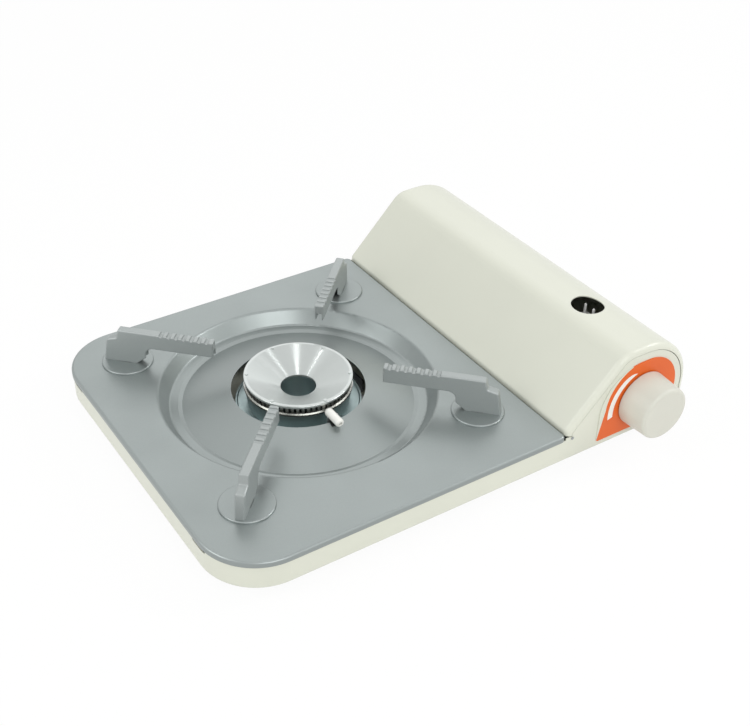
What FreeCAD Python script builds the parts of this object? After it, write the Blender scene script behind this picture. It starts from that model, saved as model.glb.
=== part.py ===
import FreeCAD, Part
import math
import os
import Sketcher
from FreeCAD import Placement, Rotation, Vector

# A butane cassette stove: a shallow steel case with a lift-out drip tray over the burner
# on the left, and a cartridge compartment under a hinged lid on the right.
#
# Every piece is drawn in one case frame, in millimetres: X to the right from the middle
# of the case, Y to the rear, Z up from the underside of the base pan. At the end each
# piece is shifted so that the stove stands on Z = 0 with the middle of its bounding box
# over the origin.

SIZES = {
    # Case
    "case_width": 373.0,
    "case_depth": 280.0,
    "corner_left": 42.0,
    "corner_right": 5.0,
    "pan_sheet": 0.8,
    "pan_bend": 3.0,
    "lid_wall_height": 20.6,
    "wall_notch_length": 16.0,
    "wall_notch_depth": 3.0,
    "wall_notch_y": 97.0,
    "foot_height": 8.0,
    "foot_radius": 9.0,
    "foot_stem_radius": 3.0,
    "foot_inset": 38.0,
    # Drip tray
    "lid_side": 111.1,
    "tray_sheet": 0.6,
    "tray_overhang": 0.7,
    "tray_top": 23.6,
    "tray_skirt": 4.2,
    "tray_edge": 1.8,
    "tray_corner": 4.0,
    "well_radius": 101.3,
    "well_foot": 93.7,
    "well_ledge": 87.6,
    "well_step": 84.6,
    "well_ledge_z": 12.8,
    "well_floor_z": 11.8,
    "well_bend": 2.6,
    "tray_hole": 48.9,
    "tray_hole_z": 23.4,
    "electrode_notch": 7.2,
    # Burner
    "burner_offset": 3.4,
    "burner_y": 7.2,
    "cap_radius": 39.6,
    "cap_top": 34.1,
    "cap_hole": 13.0,
    "cap_hole_z": 23.4,
    "cap_sheet": 1.2,
    "cap_rim": 2.3,
    "cap_lip": 0.9,
    "nub_radius": 1.2,
    "nub_count": 6,
    "ring_wall": 2.1,
    "ring_height": 5.8,
    "ring_flange": 0.9,
    "ring_flange_height": 1.0,
    "port_count": 64,
    "port_width": 1.6,
    "port_depth": 4.9,
    "bowl_seat": 0.6,
    "bowl_draft": 3.0,
    "bowl_wall": 2.0,
    "bowl_rim_z": 25.5,
    "bowl_flange_width": 6.0,
    "bowl_flange_z": 12.0,
    "chimney_radius": 16.5,
    "strap_sheet": 1.2,
    "strap_width": 30.0,
    "strap_y": 16.0,
    "strap_height": 11.0,
    "strap_reach": 53.0,
    # Gas path
    "tube_width": 17.0,
    "tube_height": 8.6,
    "tube_wall": 0.8,
    "tube_z": 5.8,
    "jet_left": 35.57,
    "jet_back": 51.74,
    "shutter_length": 12.0,
    "jet_radius": 2.6,
    "jet_gap": 4.0,
    "jet_length": 9.0,
    "jet_bore": 0.5,
    "valve_length": 16.0,
    "valve_width": 15.0,
    "valve_height": 9.0,
    "pipe_radius": 2.0,
    "pipe_length": 6.6,
    # Electrode
    "rod_radius": 3.2,
    "rod_gap": 1.4,
    "rod_length": 17.0,
    "rod_z": 27.0,
    "electrode_sheet": 1.0,
    "electrode_plate": 9.0,
    "wire_radius": 0.8,
    # Pot supports
    "boss_distance": 131.0,
    "boss_radius": 19.0,
    "boss_height": 1.5,
    "arm_width": 6.8,
    "arm_sheet": 1.0,
    "arm_tip": 62.5,
    "arm_top": 52.2,
    "arm_under": 39.2,
    "arm_tip_height": 7.0,
    "arm_shoulder": 135.4,
    "arm_heel_z": 43.1,
    "arm_heel": 144.8,
    "arm_foot_outer": 147.6,
    "arm_foot_inner": 121.6,
    "arm_leg_inner": 115.0,
    "arm_leg_z": 30.5,
    "arm_arch": 6.0,
    "arm_bend": 1.2,
    "grip_first": 67.2,
    "grip_pitch": 5.8,
    "grip_count": 7,
    "grip_radius": 1.7,
    "tab_width": 8.0,
    "tab_length": 3.0,
    # Lid
    "lid_gap": 0.8,
    "stud_radius": 1.2,
    "lid_sheet": 0.8,
    "lid_top": 74.0,
    "lid_front_z": 21.4,
    "lid_rear_z": 22.2,
    "lid_brow_z": 25.5,
    "lid_knee_in": 63.7,
    "lid_knee": 18.0,
    "lid_brow": 3.0,
    "lid_shoulder": 43.8,
    "lid_curl": 4.4,
    "lid_band": 4.7,
    "panel_seam": 0.3,
    "arc_seam": 0.9,
    "window_radius": 12.25,
    "window_in": 44.5,
    "window_y": -77.0,
    # Hinge
    "hinge_in": 8.0,
    "hinge_z": 10.0,
    "pin_radius": 2.0,
    "pin_head": 3.5,
    "pin_dome": 1.2,
    "ear_sheet": 1.2,
    "ear_gap": 0.5,
    "hub_radius": 4.0,
    "ear_reach": 13.9,
    "ear_band": 4.6,
    # Knob, front plate and igniter
    "knob_in": 43.8,
    "knob_z": 31.0,
    "knob_radius": 21.4,
    "knob_length": 23.4,
    "knob_gap": 0.8,
    "knob_edge": 2.5,
    "knob_lean": 1.2,
    "knob_wall": 2.0,
    "shaft_radius": 4.0,
    "shaft_grip": 9.0,
    "plate_sheet": 0.6,
    "plate_top": 62.8,
    "plate_bottom": 6.2,
    "plate_right_reach": 32.3,
    "plate_left_reach": 38.2,
    "plate_left_round": 34.0,
    "plate_right_round": 30.5,
    "cam_radius": 8.0,
    "cam_rise": 4.0,
    "cam_width": 5.0,
    "cam_room": 5.2,
    "cam_dwell": 12.0,
    "cam_fall": 14.0,
    "knob_turn": 105.0,
    "plunger_radius": 2.4,
    "plunger_length": 14.0,
    "igniter_length": 24.0,
    "igniter_width": 10.6,
    # Cartridge side
    "governor_radius": 21.0,
    "governor_depth": 30.0,
    "governor_gap": 13.5,
    "screw_radius": 1.5,
    "screw_grip": 5.0,
    "governor_foot": 11.0,
    "cover_radius": 23.5,
    "cover_sheet": 4.0,
    "inlet_radius": 8.0,
    "inlet_length": 18.0,
    "cartridge_z": 37.0,
    "cartridge_radius": 34.0,
    "magnet_radius": 17.0,
    "magnet_width": 7.0,
    "cradle_length": 150.0,
    "cradle_span": 44.0,
    "cradle_sheet": 0.8,
    "cradle_y": 19.0,
    "partition_gap": 5.6,
    "partition_sheet": 0.8,
    "partition_height": 18.8,
    "partition_foot": 9.0,
    "tube_notch": 74.0,
    "prong_radius": 1.05,
    "prong_top": 66.0,
    "prong_offset": 9.0,
    "prong_y": -75.0,
    "prong_pitch": 9.0,
    "guide_sheet": 2.0,
    # Clearances
    "seat_gap": 0.3,
    "pin_clearance": 0.05,
}

doc = FreeCAD.newDocument("CassetteStove")
sheet = doc.addObject("Spreadsheet::Sheet", "Sizes")
for row, alias in enumerate(SIZES, 1):
    sheet.set("A%d" % row, alias)
    sheet.set("B%d" % row, str(SIZES[alias]))
    sheet.setAlias("B%d" % row, alias)
doc.recompute()


class Size:
    """A length, angle or count: its number now, and the sheet formula that gives it."""

    def __init__(self, value, formula=None):
        self.value = float(value)
        self.formula = formula or "(%r)" % float(value)
        self.fixed = formula is None

    @staticmethod
    def of(value):
        return value if isinstance(value, Size) else Size(value)

    def joined(self, sign, other, value):
        return Size(value, "(%s %s %s)" % (self.formula, sign, other.formula))

    def __add__(self, other):
        other = Size.of(other)
        return self.joined("+", other, self.value + other.value)

    def __sub__(self, other):
        other = Size.of(other)
        return self.joined("-", other, self.value - other.value)

    def __mul__(self, other):
        other = Size.of(other)
        return self.joined("*", other, self.value * other.value)

    def __truediv__(self, other):
        other = Size.of(other)
        return self.joined("/", other, self.value / other.value)

    def __radd__(self, other):
        return Size.of(other) + self

    def __rsub__(self, other):
        return Size.of(other) - self

    def __rmul__(self, other):
        return Size.of(other) * self

    def __neg__(self):
        return Size(-self.value, "(0 - %s)" % self.formula)


class Sheet:
    """The sheet's sizes by name."""

    def __getattr__(self, alias):
        return Size(SIZES[alias], "Sizes." + alias)


def sine(angle):
    return Size(math.sin(math.radians(angle.value)), "sin(%s)" % angle.formula)


def cosine(angle):
    return Size(math.cos(math.radians(angle.value)), "cos(%s)" % angle.formula)


def root(size):
    return Size(math.sqrt(size.value), "sqrt(%s)" % size.formula)


def arctan(slope):
    return Size(math.degrees(math.atan(slope.value)), "atan(%s)" % slope.formula)


def bind(thing, name, size):
    """Set a property from a size and keep it tied to the sheet."""
    size = Size.of(size)
    if not size.fixed:
        thing.setExpression(name, size.formula)


s = Sheet()

# Lines and planes that several pieces share.
side = s.case_width / 2
front = s.case_depth / 2
origin_x = s.tray_overhang / 2
tray_split = side - s.lid_side
burner_x = (tray_split - side - s.tray_overhang) / 2 + s.burner_offset
knob_x = side - s.knob_in
hinge_x = side - s.hinge_in
lid_knee_x = side - s.lid_knee_in
window_x = side - s.window_in
knob_face = front + s.knob_gap + s.plate_sheet + s.knob_length
pin_end = front + s.pin_dome
origin_y = (knob_face - pin_end) / 2


def place(thing):
    """Shift a piece from the case frame to the stove's own origin."""
    bind(thing, "Placement.Base.x", origin_x)
    bind(thing, "Placement.Base.y", origin_y)
    bind(thing, "Placement.Base.z", s.foot_height)


nodes = {}


def new_body(label):
    body = doc.addObject("PartDesign::Body", label)
    body.Label = label
    place(body)
    nodes[label] = body
    return body


def group(label, pieces):
    """Separate solids that make one node."""
    compound = doc.addObject("Part::Compound", label)
    compound.Label = label
    compound.Links = pieces
    place(compound)
    nodes[label] = compound
    return compound


def new_sketch(body, role, offset=0, turn=0, about=(0, 0)):
    """A sketch on one of the body's own planes, moved along its normal and turned in it."""
    plane = [item for item in body.Origin.OriginFeatures if item.Role == role][0]
    sketch = doc.addObject("Sketcher::SketchObject", body.Name + "_sketch")
    body.addObject(sketch)
    sketch.AttachmentSupport = (plane, "")
    sketch.MapMode = "FlatFace"
    offset = Size.of(offset)
    turn = Size.of(turn)
    x = Size.of(about[0])
    y = Size.of(about[1])
    sketch.AttachmentOffset = Placement(
        Vector(x.value, y.value, offset.value), Rotation(Vector(0, 0, 1), turn.value))
    bind(sketch, "AttachmentOffset.Base.x", x)
    bind(sketch, "AttachmentOffset.Base.y", y)
    bind(sketch, "AttachmentOffset.Base.z", offset)
    bind(sketch, "AttachmentOffset.Rotation.Angle", turn)
    return sketch


def dimension(sketch, kind, where, size):
    size = Size.of(size)
    number = sketch.addConstraint(Sketcher.Constraint(kind, *where, size.value))
    bind(sketch, "Constraints[%d]" % number, size)


def hold(sketch, item, end, x, y):
    """Dimension a point from the sketch origin."""
    dimension(sketch, "DistanceX", (-1, 1, item, end), x)
    dimension(sketch, "DistanceY", (-1, 1, item, end), y)


def circle(sketch, x, y, radius):
    x = Size.of(x)
    y = Size.of(y)
    radius = Size.of(radius)
    item = sketch.addGeometry(
        Part.Circle(Vector(x.value, y.value, 0), Vector(0, 0, 1), radius.value), False)
    hold(sketch, item, 3, x, y)
    dimension(sketch, "Radius", (item,), radius)
    return sketch


def outline(sketch, corners):
    """A closed outline through corners (x, y) or (x, y, radius of the rounded corner)."""
    corners = [[Size.of(value) for value in corner] for corner in corners]
    count = len(corners)
    points = [Vector(corner[0].value, corner[1].value, 0) for corner in corners]
    arrive = list(points)
    leave = list(points)
    arcs = {}
    for i, corner in enumerate(corners):
        if len(corner) < 3:
            continue
        back = (points[i - 1] - points[i]).normalize()
        ahead = (points[(i + 1) % count] - points[i]).normalize()
        half = back.getAngle(ahead) / 2
        radius = corner[2].value
        arrive[i] = points[i] + back * (radius / math.tan(half))
        leave[i] = points[i] + ahead * (radius / math.tan(half))
        centre = points[i] + (back + ahead).normalize() * (radius / math.sin(half))
        left_turn = back.cross(ahead).z < 0
        ends = (arrive[i], leave[i]) if left_turn else (leave[i], arrive[i])
        angles = [math.atan2(end.y - centre.y, end.x - centre.x) for end in ends]
        arc = Part.ArcOfCircle(Part.Circle(centre, Vector(0, 0, 1), radius), *angles)
        arcs[i] = (sketch.addGeometry(arc, False), 1 if left_turn else 2)
    lines = [
        sketch.addGeometry(Part.LineSegment(leave[i], arrive[(i + 1) % count]), False)
        for i in range(count)]
    for i, corner in enumerate(corners):
        before = lines[i - 1]
        after = lines[i]
        if i not in arcs:
            sketch.addConstraint(Sketcher.Constraint("Coincident", before, 2, after, 1))
            hold(sketch, after, 1, corner[0], corner[1])
            continue
        arc, first = arcs[i]
        sketch.addConstraint(Sketcher.Constraint("Tangent", before, 2, arc, first))
        sketch.addConstraint(Sketcher.Constraint("Tangent", arc, 3 - first, after, 1))
        dimension(sketch, "Radius", (arc,), corner[2])
        mark = sketch.addGeometry(Part.Point(points[i]), True)
        sketch.addConstraint(Sketcher.Constraint("PointOnObject", mark, 1, before))
        sketch.addConstraint(Sketcher.Constraint("PointOnObject", mark, 1, after))
        hold(sketch, mark, 1, corner[0], corner[1])
    return sketch


def box_outline(sketch, x_low, x_high, y_low, y_high, radius=None):
    tail = () if radius is None else (radius,)
    return outline(sketch, [
        (x_low, y_low) + tail, (x_high, y_low) + tail,
        (x_high, y_high) + tail, (x_low, y_high) + tail])


def feature(body, kind, **settings):
    item = doc.addObject("PartDesign::" + kind, body.Name + "_" + kind.lower())
    body.addObject(item)
    for name, value in settings.items():
        if isinstance(value, Size):
            setattr(item, name, value.value)
            bind(item, name, value)
        else:
            setattr(item, name, value)
    body.Tip = item
    doc.recompute()
    return item


def pad(body, sketch, length, side_type="One side", back=False, **more):
    return feature(body, "Pad", Profile=sketch, Length=Size.of(length),
                   SideType=side_type, Reversed=back, **more)


def pocket(body, sketch, length, side_type="One side", back=False, **more):
    return feature(body, "Pocket", Profile=sketch, Length=Size.of(length),
                   SideType=side_type, Reversed=back, **more)


def pocket_all(body, sketch, back=False, both=False):
    return feature(body, "Pocket", Profile=sketch, Type="ThroughAll", Reversed=back,
                   SideType="Symmetric" if both else "One side")


def spin(body, sketch, kind="Revolution"):
    """Turn a profile about the sketch's vertical axis."""
    return feature(body, kind, Profile=sketch, ReferenceAxis=(sketch, ["V_Axis"]), Angle=360.0)


def around(body, item, count, axis_sketch):
    """Repeat a feature round the axis normal to a sketch."""
    pattern = feature(body, "PolarPattern", Originals=[item],
                      Axis=(axis_sketch, ["N_Axis"]), Angle=360.0, Occurrences=int(count.value))
    bind(pattern, "Occurrences", count)
    return pattern


def edges_where(item, test):
    """Names of the edges whose every sampled point passes the test."""
    names = []
    for number, edge in enumerate(item.Shape.Edges, 1):
        low, high = edge.ParameterRange
        samples = [edge.valueAt(low + (high - low) * step / 4) for step in range(5)]
        if all(test(point) for point in samples):
            names.append("Edge%d" % number)
    return names


def near(value, size, slack=0.02):
    return abs(value - Size.of(size).value) < slack


def round_edges(body, test, radius):
    item = body.Tip
    return feature(body, "Fillet", Base=(item, edges_where(item, test)), Radius=radius)


def bevel_edges(body, test, width):
    item = body.Tip
    return feature(body, "Chamfer", Base=(item, edges_where(item, test)), Size=width)


# Lines of the lid that the fixed end panels and the case walls follow.
lid_left = tray_split + s.lid_gap
lid_rise = (s.lid_top - s.lid_brow_z) / (lid_knee_x - lid_left)
lid_stretch = root(lid_rise * lid_rise + 1)


def lid_profile(inset, right_inset, bottom_left, bottom_right):
    """The compartment's end view, moved inwards: brow, slope, knee, top and round shoulder."""
    drop = inset * (lid_stretch - lid_rise)
    run = (s.lid_top - inset - s.lid_brow_z + inset * lid_stretch) / lid_rise
    return [
        (lid_left + inset, bottom_left),
        (lid_left + inset, s.lid_brow_z - drop),
        (lid_left + run, s.lid_top - inset, s.lid_knee - inset),
        (side - right_inset, s.lid_top - inset, s.lid_shoulder - right_inset),
        (side - right_inset, bottom_right)]


# Base pan: one pressed tray of sheet steel. Its wall carries the drip tray on the left, is
# lower under the lid on the right, and rises there at the front and rear into the two fixed
# end panels that the lid closes round.
pan = new_body("base_pan")
wall_top = s.tray_top - s.tray_sheet - s.seat_gap
skirt_z = s.tray_top - s.tray_skirt
pad(pan, outline(new_sketch(pan, "XY_Plane"), [
    (-side, -front, s.corner_left), (side, -front, s.corner_right),
    (side, front, s.corner_right), (-side, front, s.corner_left)]), wall_top)
round_edges(pan, lambda p: near(p.z, 0), s.pan_bend)
lids = ["Face%d" % number for number, face in enumerate(pan.Tip.Shape.Faces, 1)
        if near(face.BoundBox.ZMin, wall_top)]
feature(pan, "Thickness", Base=(pan.Tip, lids), Value=s.pan_sheet, Reversed=True)
pocket_all(pan, box_outline(
    new_sketch(pan, "XZ_Plane"), tray_split, side + 5, s.lid_wall_height, wall_top + 5),
    both=True)
pocket_all(pan, box_outline(
    new_sketch(pan, "XZ_Plane"), tray_split - s.tray_corner - s.seat_gap,
    tray_split + s.seat_gap, skirt_z - s.seat_gap, wall_top + 5), both=True)
panel = outline(
    new_sketch(pan, "XZ_Plane", front),
    lid_profile(s.lid_band + s.panel_seam, s.lid_band + s.arc_seam,
                s.pan_bend + 6, s.pan_bend + 6))
end_panel = pad(pan, panel, s.pan_sheet, back=True)
mirror_plane = [item for item in pan.Origin.OriginFeatures if item.Role == "XZ_Plane"][0]
feature(pan, "Mirrored", Originals=[end_panel], MirrorPlane=(mirror_plane, [""]))
pocket_all(pan, circle(
    new_sketch(pan, "XZ_Plane"), hinge_x, s.hinge_z, s.pin_radius + s.pin_clearance),
    both=True)
pocket_all(pan, circle(
    new_sketch(pan, "XZ_Plane"), knob_x, s.knob_z, s.shaft_radius + s.seat_gap), back=True)
for end in (-1, 1):
    middle = end * s.wall_notch_y
    pocket_all(pan, box_outline(
        new_sketch(pan, "YZ_Plane"), middle - s.wall_notch_length / 2,
        middle + s.wall_notch_length / 2, skirt_z - s.wall_notch_depth, wall_top + 5))
foot_places = [(turn_x * (side - s.foot_inset), turn_y * (front - s.foot_inset))
               for turn_x in (-1, 1) for turn_y in (-1, 1)]
for x, y in foot_places:
    pocket_all(pan, circle(new_sketch(pan, "XY_Plane", s.pan_bend), x, y, s.foot_stem_radius))

# Rubber feet, each buttoned through its hole in the pan.
feet = []
for x, y in foot_places:
    name = "foot_%d" % len(feet)
    foot = doc.addObject("PartDesign::Body", name)
    sole = s.foot_radius - 1.2
    spin(foot, outline(new_sketch(foot, "XZ_Plane", -y, about=(x, 0)), [
        (0, -s.foot_height), (sole, -s.foot_height), (s.foot_radius, 0),
        (s.foot_stem_radius - s.seat_gap, 0), (s.foot_stem_radius - s.seat_gap, s.pan_sheet),
        (s.foot_stem_radius + 1.4, s.pan_sheet), (s.foot_stem_radius + 0.6, s.pan_sheet + 2),
        (0, s.pan_sheet + 2)]))
    feet.append(foot)
group("rubber_feet", feet)

# Drip tray: a thin pressed sheet that lies on the case wall, with a rounded edge and skirt,
# four raised bosses for the pot supports and a deep round well. The well steps down, then
# rises as a cone to the hole that the burner stands in.
tray = new_body("drip_tray")
tray_left = -side - s.tray_overhang
tray_y = front + s.tray_overhang
arm_angles = (-45, 45, 135, -135)


def tray_outline(sketch, inset):
    left = s.corner_left + s.tray_overhang - inset
    right = s.tray_corner - inset
    return outline(sketch, [
        (tray_left + inset, -tray_y + inset, left), (tray_split - inset, -tray_y + inset, right),
        (tray_split - inset, tray_y - inset, right), (tray_left + inset, tray_y - inset, left)])


pad(tray, tray_outline(new_sketch(tray, "XY_Plane", skirt_z), Size(0)), s.tray_skirt)
round_edges(tray, lambda p: near(p.z, s.tray_top), s.tray_edge)
boss_centres = [
    (burner_x + s.boss_distance * cosine(Size(angle)),
     s.burner_y + s.boss_distance * sine(Size(angle))) for angle in arm_angles]
for x, y in boss_centres:
    pad(tray, circle(new_sketch(tray, "XY_Plane", s.tray_top - s.tray_sheet), x, y, s.boss_radius),
        s.boss_height + s.tray_sheet)
boss_z = s.tray_top + s.boss_height
round_edges(tray, lambda p: near(p.z, boss_z), s.boss_height * 0.6)
pocket(tray, tray_outline(new_sketch(tray, "XY_Plane", skirt_z), s.tray_sheet),
       s.tray_skirt - s.tray_sheet, back=True)
for x, y in boss_centres:
    pocket(tray, circle(new_sketch(tray, "XY_Plane", s.tray_top - s.tray_sheet * 2), x, y,
                        s.boss_radius - s.tray_sheet), s.boss_height + s.tray_sheet, back=True)
pocket_all(tray, circle(new_sketch(tray, "XY_Plane", boss_z + 1), burner_x, s.burner_y,
                        s.well_radius + 2))
burner_axis = {"offset": -s.burner_y, "about": (burner_x, 0)}
ring_radius = s.cap_radius - s.cap_lip
rod_start = ring_radius + s.ring_flange + s.rod_gap
rod_end = rod_start + s.rod_length
lean = (s.well_radius - s.well_foot) / (s.tray_top - s.well_ledge_z)
jog = s.tray_sheet * (root(lean * lean + 1) - lean)
spin(tray, outline(new_sketch(tray, "XZ_Plane", **burner_axis), [
    (s.well_radius + 3.5, s.tray_top), (s.well_radius, s.tray_top, s.well_bend),
    (s.well_foot, s.well_ledge_z, s.well_bend - s.tray_sheet),
    (s.well_ledge, s.well_ledge_z), (s.well_step, s.well_floor_z),
    (s.tray_hole, s.tray_hole_z), (s.tray_hole, s.tray_hole_z - s.tray_sheet),
    (s.well_step, s.well_floor_z - s.tray_sheet), (s.well_ledge, s.well_ledge_z - s.tray_sheet),
    (s.well_foot + jog, s.well_ledge_z - s.tray_sheet, s.well_bend),
    (s.well_radius + jog, s.tray_top - s.tray_sheet, s.well_bend - s.tray_sheet),
    (s.well_radius + 3.5, s.tray_top - s.tray_sheet)]))
pocket_all(tray, box_outline(
    new_sketch(tray, "XY_Plane", boss_z + 1, about=(burner_x, s.burner_y)),
    -s.electrode_notch / 2, s.electrode_notch / 2,
    -rod_end + s.rod_radius * 1.7, -s.tray_hole + 3))
for angle in arm_angles:
    slot = new_sketch(tray, "XY_Plane", boss_z + 1, turn=angle, about=(burner_x, s.burner_y))
    pocket_all(tray, box_outline(
        slot, s.boss_distance - s.tab_width / 2 - s.seat_gap,
        s.boss_distance + s.tab_width / 2 + s.seat_gap,
        -s.arm_width / 2 - s.seat_gap, s.arm_width / 2 + s.seat_gap))

# Pot supports: four pressed channels, open below, with a row of grip notches in the back
# and a heel that drops to the foot. Two tabs on each foot go through a slot in its boss.
arm_names = ("pot_support_front_right", "pot_support_rear_right",
             "pot_support_rear_left", "pot_support_front_left")
for label, angle in zip(arm_names, arm_angles):
    arm = new_body(label)
    bind(arm, "Placement.Base.x", origin_x + burner_x)
    bind(arm, "Placement.Base.y", origin_y + s.burner_y)
    arm.Placement = Placement(Vector(), Rotation(Vector(0, 0, 1), angle))
    pad(arm, outline(new_sketch(arm, "XZ_Plane"), [
        (s.arm_tip, s.arm_under, 0.8), (s.arm_leg_inner - 0.4, s.arm_under, s.arm_arch),
        (s.arm_leg_inner, s.arm_leg_z, 1), (s.arm_foot_inner, boss_z),
        (s.arm_foot_outer, boss_z), (s.arm_heel, s.arm_heel_z, 2),
        (s.arm_shoulder + 1.4, s.arm_heel_z + 2.1, 1.5), (s.arm_shoulder, s.arm_top, 1.2),
        (s.arm_tip, s.arm_top, 1)]), s.arm_width, "Symmetric")
    half = s.arm_width / 2
    round_edges(arm, lambda p: near(abs(p.y), half) and p.z > s.arm_heel_z.value - 0.1 and (
        p.x > s.arm_shoulder.value - 2 or p.z > s.arm_top.value - 0.6), s.arm_bend)
    pad(arm, box_outline(
        new_sketch(arm, "XZ_Plane"), s.boss_distance - s.tab_width / 2,
        s.boss_distance + s.tab_width / 2, boss_z - s.tab_length, boss_z + 1),
        s.arm_width, "Symmetric")
    web = s.arm_top - s.grip_radius - s.arm_sheet
    below = boss_z - s.tab_length - 1
    pocket(arm, outline(new_sketch(arm, "XZ_Plane"), [
        (s.arm_tip + s.arm_sheet, web), (s.arm_tip + s.arm_sheet, s.arm_top - s.arm_tip_height),
        (s.arm_tip - 1, s.arm_top - s.arm_tip_height), (s.arm_tip - 1, below),
        (s.arm_foot_outer - s.arm_sheet * 0.6, below),
        (s.arm_heel - s.arm_sheet * 1.4, s.arm_heel_z - s.arm_sheet),
        (s.arm_shoulder - s.arm_sheet * 1.5, s.arm_heel_z - s.arm_sheet + 1),
        (s.arm_shoulder - s.arm_sheet * 1.5, web)]),
        s.arm_width - s.arm_sheet * 2, "Symmetric")
    grip = pocket_all(arm, circle(
        new_sketch(arm, "XZ_Plane"), s.grip_first, s.arm_top, s.grip_radius), both=True)
    along = [item for item in arm.Origin.OriginFeatures if item.Role == "X_Axis"][0]
    row_of_grips = feature(arm, "LinearPattern", Originals=[grip], Direction=(along, [""]),
                           Length=s.grip_pitch * (s.grip_count - 1),
                           Occurrences=int(s.grip_count.value))
    bind(row_of_grips, "Occurrences", s.grip_count)

# Lid: a pressed hood over the cartridge. Its ends curl inwards round the fixed end panels,
# a round window shows the head of the cartridge, and inside each end a bent ear reaches
# down round the case wall to the hinge pin.
lid = new_body("lid")
hollow = doc.addObject("PartDesign::Body", "lid_hollow")


def hood(body, inset, depth, curl, bottom_left, bottom_right):
    """The hood's full form with its curled ends."""
    pad(body, outline(new_sketch(body, "XZ_Plane"), [
        (lid_left + inset, bottom_left),
        (lid_left + inset, s.lid_brow_z - inset * (lid_stretch - lid_rise), s.lid_brow - inset),
        *lid_profile(inset, inset, bottom_left, bottom_right)[2:]]), depth, "Symmetric")
    half = depth.value / 2
    lowest = max(bottom_left.value, bottom_right.value) + 0.01
    round_edges(body, lambda p: near(abs(p.y), half) and (
        p.z > lowest or near(p.x, lid_left + inset) or near(p.x, side - inset)), curl)


hood(lid, Size(0), s.case_depth, s.lid_curl, s.lid_front_z, s.lid_rear_z)
hood(hollow, s.lid_sheet, s.case_depth - s.lid_sheet * 2, s.lid_curl - s.lid_sheet,
     s.lid_front_z - 6, s.lid_rear_z - 6)
feature(lid, "Boolean", Type="Cut", Group=[hollow])
pocket_all(lid, outline(
    new_sketch(lid, "XZ_Plane"),
    lid_profile(s.lid_band, s.lid_band, s.lid_front_z - 8, s.lid_front_z - 8)), both=True)
pocket_all(lid, circle(new_sketch(lid, "XY_Plane"), window_x, s.window_y, s.window_radius),
           back=True)
ear_y = front - s.pan_sheet - s.ear_gap
bar_z = s.hinge_z + s.ear_reach
post_x = hinge_x - s.ear_reach
for offset in (ear_y, -ear_y + s.ear_sheet):
    pad(lid, outline(new_sketch(lid, "XZ_Plane", offset), [
        (hinge_x, s.hinge_z + s.hub_radius * 0.6), (post_x, s.hinge_z + s.hub_radius * 0.6, 1),
        (post_x, bar_z, 1.5), (side - s.lid_curl * 0.32, bar_z),
        (side - s.lid_curl * 0.32, bar_z + s.ear_band),
        (post_x - s.ear_band, bar_z + s.ear_band, 5),
        (post_x - s.ear_band, s.hinge_z - s.hub_radius * 0.6, 5),
        (hinge_x, s.hinge_z - s.hub_radius * 0.6)]), s.ear_sheet, back=True)
    pad(lid, circle(new_sketch(lid, "XZ_Plane", offset), hinge_x, s.hinge_z, s.hub_radius),
        s.ear_sheet, back=True)
pocket_all(lid, circle(new_sketch(lid, "XZ_Plane"), hinge_x, s.hinge_z,
                       s.pin_radius + s.pin_clearance), both=True)

# Hinge pins: a shouldered rivet through each end wall, with a head outside and a washer
# head inside the ear.
pins = []
for end in (-1, 1):
    pin = doc.addObject("PartDesign::Body", "pin_%d" % len(pins))
    heads = [(front, s.pin_head, s.pin_dome), (ear_y - s.ear_sheet - s.ear_gap - 1, s.pin_head, Size(1))]
    shank_start = ear_y - s.ear_sheet - s.ear_gap - 1
    shank_end = front + s.pin_dome
    pad(pin, circle(new_sketch(pin, "XZ_Plane", -end * shank_end), hinge_x, s.hinge_z,
                    s.pin_radius), shank_end - shank_start, back=end < 0)
    for start, radius, length in heads:
        far = start + length
        pad(pin, circle(new_sketch(pin, "XZ_Plane", -end * far), hinge_x, s.hinge_z, radius),
            length, back=end < 0)
    pins.append(pin)
group("lid_hinge_pins", pins)

# Burner: a cast ring-shaped bowl with an air chimney through its middle, a slotted ring of
# flame ports on its rim and a polished cone-shaped cap that closes both.
floor_z = s.pan_sheet
bowl_base = floor_z + s.strap_sheet
ring_base = s.bowl_rim_z
ring_top = ring_base + s.ring_flange_height + s.ring_height
cap_rise = (s.cap_top - s.cap_hole_z) / (s.cap_radius - s.cap_rim - s.cap_hole)
cap_drop = s.cap_sheet * root(cap_rise * cap_rise + 1)
chimney_inner = s.chimney_radius - s.bowl_wall
chimney_top = s.cap_hole_z + (chimney_inner - s.cap_hole) * cap_rise - cap_drop - s.seat_gap
bowl_rim_radius = ring_radius + s.ring_flange - s.bowl_seat
bowl_foot_radius = bowl_rim_radius - s.bowl_draft
bowl_flange = bowl_rim_radius + s.bowl_flange_width
bowl_taper = (bowl_rim_radius - bowl_foot_radius) / (s.bowl_rim_z - bowl_base)


def bowl_radius(z):
    return bowl_foot_radius + (z - bowl_base) * bowl_taper


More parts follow.
